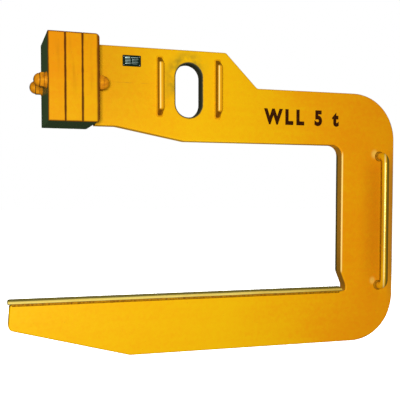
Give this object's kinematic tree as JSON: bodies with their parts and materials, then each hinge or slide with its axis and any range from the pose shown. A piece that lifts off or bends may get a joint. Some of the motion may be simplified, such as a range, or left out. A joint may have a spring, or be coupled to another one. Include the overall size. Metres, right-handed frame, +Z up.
{
  "type": "coil lifting c-hook",
  "caption": "C-shaped steel coil hook: one thick plate with a suspension slot, a saddle bar on the lower arm, a bolted counterweight block, guide ribs and side handles.",
  "frame": {"origin": "centre of the half-round upper end of the suspension slot, on the plate's mid-plane", "axes": "+X from the tips of the arms towards the closed back, +Y out of the rear face, +Z up; the nameplate is on the -Y face"},
  "size_m": [1.5, 0.245, 1.111],
  "materials": {
    "hoist_yellow": "gloss enamel, brushed on",
    "saddle_paint": "gloss enamel polished by coils",
    "fastener_paint": "painted over, worn",
    "stud_steel": "oiled",
    "nameplate": "black anodised, blank",
    "rivet_metal": "dull"
  },
  "bodies": {
    "root": {"counterweight_end_plate": "hoist_yellow", "counterweight_middle_slab": "hoist_yellow", "counterweight_outer_slab": "hoist_yellow", "end_plate_top_weld": "hoist_yellow", "front_end_plate_weld": "hoist_yellow", "front_handle": "hoist_yellow", "front_handle_welds": "hoist_yellow", "front_left_rib": "hoist_yellow", "front_left_rib_weld": "hoist_yellow", "front_right_rib": "hoist_yellow", "front_right_rib_weld": "hoist_yellow", "front_saddle_weld": "hoist_yellow", "front_tie_stud": "stud_steel", "hook_body": "hoist_yellow", "inner_cap_nuts": "fastener_paint", "inner_washers": "fastener_paint", "lock_washers": "fastener_paint", "nameplate": "nameplate", "nameplate_rivets": "rivet_metal", "outer_cap_nuts": "fastener_paint", "outer_washers": "fastener_paint", "rear_end_plate_weld": "hoist_yellow", "rear_handle": "hoist_yellow", "rear_handle_welds": "hoist_yellow", "rear_left_rib": "hoist_yellow", "rear_left_rib_weld": "hoist_yellow", "rear_right_rib": "hoist_yellow", "rear_right_rib_weld": "hoist_yellow", "rear_saddle_weld": "hoist_yellow", "rear_tie_stud": "stud_steel", "saddle_bar": "saddle_paint"}
  },
  "joints": []
}
